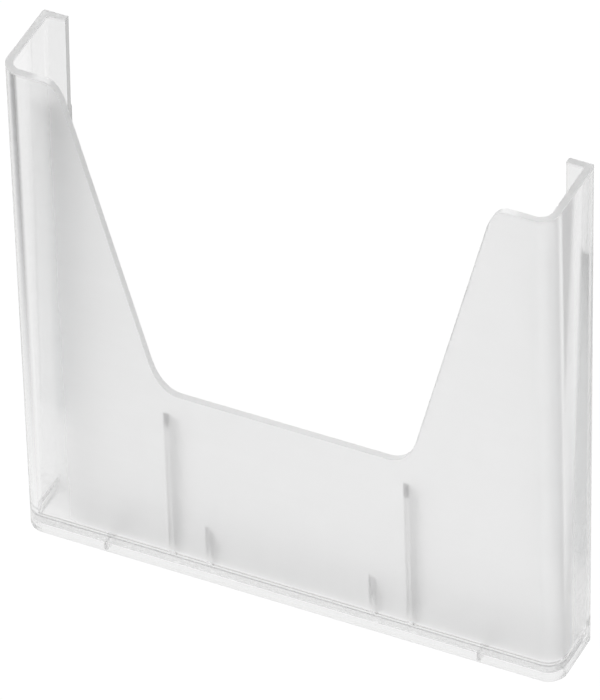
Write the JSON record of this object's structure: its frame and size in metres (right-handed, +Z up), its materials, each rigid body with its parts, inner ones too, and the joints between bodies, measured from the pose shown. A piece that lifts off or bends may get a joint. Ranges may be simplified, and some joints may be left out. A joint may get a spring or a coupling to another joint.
{
  "type": "magazine pocket",
  "caption": "Clear moulded open-backed magazine pocket with a V-shaped front cut-out, inner ribs and rear flanges, stuck to a wall by clear tape strips with film release liners.",
  "frame": {"origin": "middle of the pocket's underside, on the plane of the wall that the tape sticks to", "axes": "+Z up, +Y into the wall, +X to the right as seen from the front; the front panel faces -Y"},
  "size_m": [0.23, 0.0412, 0.238],
  "materials": {
    "clear_plastic": "clear injection-moulded polystyrene, very slightly hazy, polished outside",
    "clear_tape": "clear acrylic gel tape, soft and sticky on both faces",
    "liner_film": "clear polyester film, silicone-coated, slightly hazy"
  },
  "bodies": {
    "holder": {"pocket_shell": "clear_plastic", "left_tape": "clear_tape", "right_tape": "clear_tape"},
    "left_liner": {"left_liner": "liner_film"},
    "right_liner": {"right_liner": "liner_film"}
  },
  "joints": [
    {"name": "left_liner_pull", "type": "slide", "parent": "holder", "child": "left_liner", "axis": [0, 1, 0], "range_m": [0, 0.12]},
    {"name": "right_liner_pull", "type": "slide", "parent": "holder", "child": "right_liner", "axis": [0, 1, 0], "range_m": [0, 0.12]}
  ]
}
